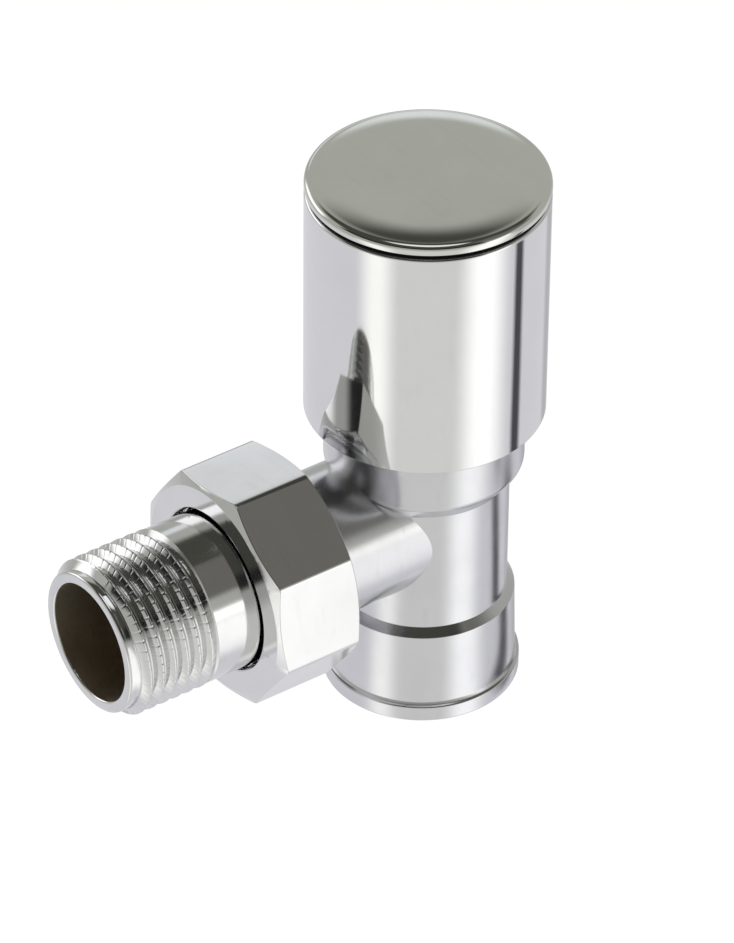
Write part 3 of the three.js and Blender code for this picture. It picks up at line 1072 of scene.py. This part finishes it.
def panel_group():
    """A mask that is 1 inside a soft-edged panel seen from the valve, and 0 outside it."""
    inputs = [
        "Azimuth", "Elevation", "Centre Azimuth", "Centre Elevation", "Half Width", "Half Height", "Softness",
    ]
    group, source, sink = new_group("Soft Panel", [(label, 10.0) for label in inputs], ["Mask"])
    get = source.outputs
    masks = []
    for along, centre, half in (("Azimuth", "Centre Azimuth", "Half Width"),
                                ("Elevation", "Centre Elevation", "Half Height")):
        away = add_node(group, "ShaderNodeMath", {0: get[along], 1: get[centre]}, operation="SUBTRACT")
        turn = {0: away.outputs[0], 1: 180.0, 2: -180.0}
        wrapped = add_node(group, "ShaderNodeMath", turn, operation="WRAP")
        distance = add_node(group, "ShaderNodeMath", {0: wrapped.outputs[0]}, operation="ABSOLUTE")
        edge = add_node(group, "ShaderNodeMath", {0: get[half], 1: get["Softness"]}, operation="ADD")
        masks.append(add_node(group, "ShaderNodeMapRange", {
            "Value": distance.outputs[0], "From Min": get[half], "From Max": edge.outputs[0],
            "To Min": 1.0, "To Max": 0.0,
        }, interpolation_type="SMOOTHSTEP").outputs[0])
    both = add_node(group, "ShaderNodeMath", {0: masks[0], 1: masks[1]}, operation="MULTIPLY")
    group.links.new(both.outputs[0], sink.inputs["Mask"])
    return group


def degrees_of(tree, radians):
    return add_node(tree, "ShaderNodeMath", {0: radians}, operation="DEGREES").outputs[0]


def light_room(scene):
    """A soft studio all round: a pale table below, a grey room above, and the panels."""
    world = bpy.data.worlds.new("soft studio")
    scene.world = world
    world.use_nodes = True
    tree = world.node_tree
    place = add_node(tree, "ShaderNodeTexCoord")
    axes = add_node(tree, "ShaderNodeSeparateXYZ", {0: place.outputs["Generated"]})
    azimuth = degrees_of(tree, add_node(tree, "ShaderNodeMath", {
        0: axes.outputs["Y"], 1: axes.outputs["X"],
    }, operation="ARCTAN2").outputs[0])
    elevation = degrees_of(tree, add_node(tree, "ShaderNodeMath", {
        0: axes.outputs["Z"],
    }, operation="ARCSINE").outputs[0])
    height = add_node(tree, "ShaderNodeMapRange", {
        "Value": elevation, "From Min": -34.0, "From Max": -4.0,
    }, interpolation_type="SMOOTHSTEP")
    light = mixed(tree, height.outputs[0], TABLE_COLOUR, ROOM_COLOUR)
    group = panel_group()
    for across, up, half_width, half_height, softness, tone in PANELS.values():
        panel = fill_group(tree, group, {
            "Centre Azimuth": across, "Centre Elevation": up, "Half Width": half_width,
            "Half Height": half_height, "Softness": softness,
        })
        tree.links.new(azimuth, panel.inputs["Azimuth"])
        tree.links.new(elevation, panel.inputs["Elevation"])
        light = mixed(tree, panel.outputs["Mask"], light, (*tone, 1))
    tree.links.new(light, tree.nodes["Background"].inputs["Color"])


def lay_floor():
    bm = bmesh.new()
    bmesh.ops.create_grid(bm, x_segments=1, y_segments=1, size=FLOOR_HALF_WIDTH)
    floor = finish_mesh(bm, "floor")
    material, tree, shader = start_material("pale floor")
    shader.inputs["Base Color"].default_value = (0.2, 0.2, 0.2, 1)
    shader.inputs["Roughness"].default_value = 0.9
    shader.inputs["Emission Color"].default_value = (1, 1, 1, 1)
    shader.inputs["Emission Strength"].default_value = 0.94
    floor.data.materials.append(material)
    floor.visible_glossy = False


def painted_shadow_material():
    """Painted shadow: dark in the middle and fading out towards the edges and ends."""
    material, tree, shader = start_material("table streak")
    core = add_node(tree, "ShaderNodeAttribute", None, attribute_name="core")
    tree.links.new(core.outputs["Fac"], shader.inputs["Alpha"])
    shader.inputs["Base Color"].default_value = (0, 0, 0, 1)
    shader.inputs["Emission Color"].default_value = (*PAINTED_SHADOW_COLOUR, 1)
    shader.inputs["Emission Strength"].default_value = 1.0
    return material


def painted_shadow_rows(bm, path):
    """Four points across each place on the path. The core is 1 inside the painted shadow strip, 0 at its edges
    and ends.
    """
    core = bm.verts.layers.float.new("core")
    last = len(path) - 1
    rows = []
    for i, (x, y, half_width) in enumerate(path):
        ahead, behind = path[min(i + 1, last)], path[max(i - 1, 0)]
        across = Vector((behind[1] - ahead[1], ahead[0] - behind[0], 0)).normalized()
        centre = Vector((x, y, PAINTED_SHADOW_HEIGHT))
        row = [bm.verts.new(centre + across * half_width * k) for k in (-1, -0.4, 0.4, 1)]
        if 0 < i < last:
            row[1][core] = row[2][core] = 1.0
        rows.append(row)
    return rows


def lay_painted_shadows():
    """Painted shadow of the valve on the table: dark strips that only the plating sees."""
    material = painted_shadow_material()
    for name, path in PAINTED_SHADOW_STRIPS.items():
        bm = bmesh.new()
        rows = painted_shadow_rows(bm, path)
        for first, second in zip(rows, rows[1:]):
            for k in range(3):
                bm.faces.new([first[k], first[k + 1], second[k + 1], second[k]])
        # Each painted shadow strip is hidden from the camera, diffuse rays and shadows, so only the plating
        # shows it.
        shadow_strip = finish_mesh(bm, name)
        shadow_strip.data.materials.append(material)
        shadow_strip.visible_camera = shadow_strip.visible_diffuse = shadow_strip.visible_shadow = False


def set_camera(scene):
    view = scene.valve_stage
    swing, rise, roll = view.azimuth, view.elevation, view.roll
    back = Vector((math.sin(swing) * math.cos(rise), -math.cos(swing) * math.cos(rise), math.sin(rise)))
    right = Vector((math.cos(swing), math.sin(swing), 0))
    up = back.cross(right)
    across = math.cos(roll) * right + math.sin(roll) * up
    above = math.cos(roll) * up - math.sin(roll) * right
    lens = bpy.data.cameras.new("camera")
    lens.lens = view.lens
    lens.clip_start, lens.clip_end = 0.01, 20
    camera = bpy.data.objects.new("camera", lens)
    scene.collection.objects.link(camera)
    camera.matrix_world = Matrix.Translation(Vector(view.aim) + back * view.distance) @ Matrix(
        (across, above, back)).transposed().to_4x4()
    scene.camera = camera


def hang_lamp(scene):
    """A soft lamp overhead that lights the bores, the seals and the floor, unseen in the plating."""
    lamp = bpy.data.lights.new("overhead lamp", "AREA")
    lamp.size, lamp.energy = 0.6, 1.2
    holder = bpy.data.objects.new("overhead lamp", lamp)
    holder.location = (-0.25, -0.35, 0.8)
    holder.rotation_euler = Vector(holder.location).to_track_quat("Z", "Y").to_euler()
    holder.visible_glossy = False
    scene.collection.objects.link(holder)


class VALVE_OT_stage(bpy.types.Operator):
    """Sets the pale floor, the soft studio light and the camera"""

    bl_idname = "valve.build_stage"
    bl_label = "Stage"

    def execute(self, context):
        scene = context.scene
        scene.view_settings.view_transform = "Standard"
        light_room(scene)
        lay_floor()
        # Painted shadow strips on the table, seen only in the plating.
        lay_painted_shadows()
        hang_lamp(scene)
        set_camera(scene)
        return {"FINISHED"}


# Panel and start -------------------------------------------------------------

OPERATORS = [VALVE_OT_body, VALVE_OT_headwork, VALVE_OT_plug, VALVE_OT_union, VALVE_OT_cap, VALVE_OT_stage]


class VALVE_PT_sidebar(bpy.types.Panel):
    """Lists the steps that build the valve, with their sizes"""

    bl_idname = "VALVE_PT_sidebar"
    bl_label = "Lockshield Valve"
    bl_space_type = "VIEW_3D"
    bl_region_type = "UI"
    bl_category = "Valve"

    def draw(self, context):
        for operator in OPERATORS:
            self.layout.operator(operator.bl_idname)
        for name, group in GROUPS.items():
            box = self.layout.box()
            box.label(text=group.__name__)
            for key in group.__annotations__:
                box.prop(getattr(context.scene, name), key)


def register():
    for kind in [*GROUPS.values(), *OPERATORS, VALVE_PT_sidebar]:
        bpy.utils.register_class(kind)
    for name, group in GROUPS.items():
        setattr(bpy.types.Scene, name, PointerProperty(type=group))


def unregister():
    for name in GROUPS:
        delattr(bpy.types.Scene, name)
    for kind in reversed([*GROUPS.values(), *OPERATORS, VALVE_PT_sidebar]):
        bpy.utils.unregister_class(kind)


def main():
    register()
    bpy.ops.valve.build_body()
    bpy.ops.valve.build_headwork()
    bpy.ops.valve.build_plug()
    bpy.ops.valve.build_union()
    bpy.ops.valve.build_cap()
    bpy.ops.valve.build_stage()


if __name__ == "__main__":
    main()
